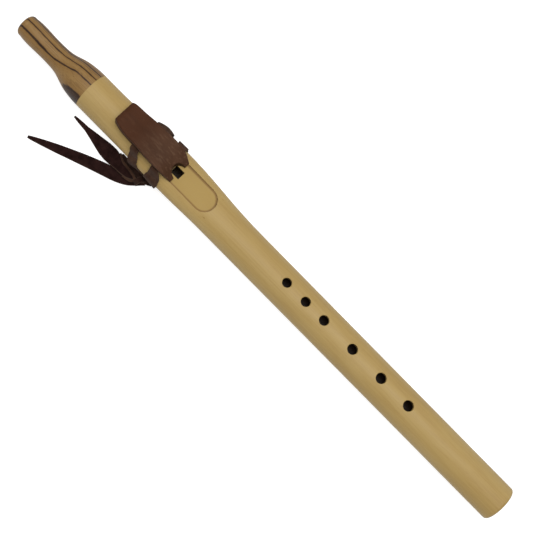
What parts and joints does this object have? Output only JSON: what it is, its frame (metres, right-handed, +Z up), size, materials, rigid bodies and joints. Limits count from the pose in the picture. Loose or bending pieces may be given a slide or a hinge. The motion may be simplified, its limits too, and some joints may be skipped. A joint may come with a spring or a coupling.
{
  "type": "wooden duct flute with tied block",
  "caption": "Two-chamber wooden duct flute with a turned striped mouthpiece, finger holes, a nest pocket and a dark block tied on with a flat suede lace.",
  "frame": {"origin": "on the table under the middle of the flute's length and width, with the flute lying on its back", "axes": "+X along the flute from mouthpiece to foot, +Z up through the block and finger holes, Y across"},
  "size_m": [0.5542, 0.0867, 0.0494],
  "materials": {
    "mouthpiece_wood": "satin oiled, striped grain",
    "body_wood": "satin, fine straight grain",
    "plug_wood": "sawn, unfinished",
    "block_wood": "dark stain, satin",
    "lace_suede": "matt suede"
  },
  "bodies": {
    "flute_body": {"mouthpiece": "mouthpiece_wood", "body_tube": "body_wood", "chamber_plug": "plug_wood"},
    "tied_block": {"block": "block_wood", "lace_rear_wrap": "lace_suede", "lace_front_wrap": "lace_suede", "lace_knot": "lace_suede", "lace_tail_long": "lace_suede", "lace_tail_short": "lace_suede"}
  },
  "joints": [
    {"name": "block_slide", "type": "slide", "parent": "flute_body", "child": "tied_block", "axis": [1, 0, 0], "range_m": [-0.0025, 0.0025]}
  ]
}
